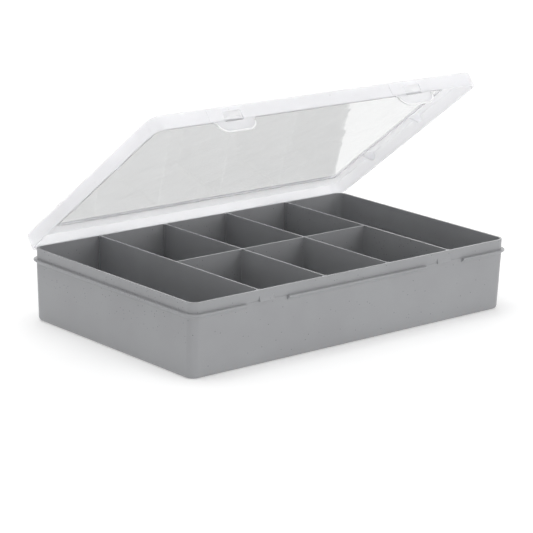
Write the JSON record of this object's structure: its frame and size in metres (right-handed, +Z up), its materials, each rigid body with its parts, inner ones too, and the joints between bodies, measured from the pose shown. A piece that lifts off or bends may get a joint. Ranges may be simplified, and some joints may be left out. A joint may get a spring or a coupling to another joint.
{
  "type": "compartment box",
  "caption": "Shallow rectangular sorting tray divided into open compartments, with a clear recessed lid hinged at the back and snap tabs at the front.",
  "frame": {"origin": "middle of the tray's underside, on the surface it stands on", "axes": "+X along the tray's length, +Y from the catches to the hinges, +Z up"},
  "size_m": [0.29, 0.1862, 0.1648],
  "materials": {
    "tray_plastic": "satin moulded grey polypropylene with fine dark specks",
    "lid_plastic": "clear styrene, frosted on the border and skirt, glossy on the panel",
    "pin_metal": "drawn wire"
  },
  "bodies": {
    "tray": {"compartment_tray": "tray_plastic", "hinge_pin_left": "pin_metal", "hinge_pin_right": "pin_metal"},
    "lid": {"hinged_lid": "lid_plastic"}
  },
  "joints": [
    {"name": "lid_hinge", "type": "hinge", "parent": "tray", "child": "lid", "pos_m": [0, 0.0945, 0.045], "axis": [-1, 0, 0], "range_deg": [-37.8, 72.2]}
  ]
}
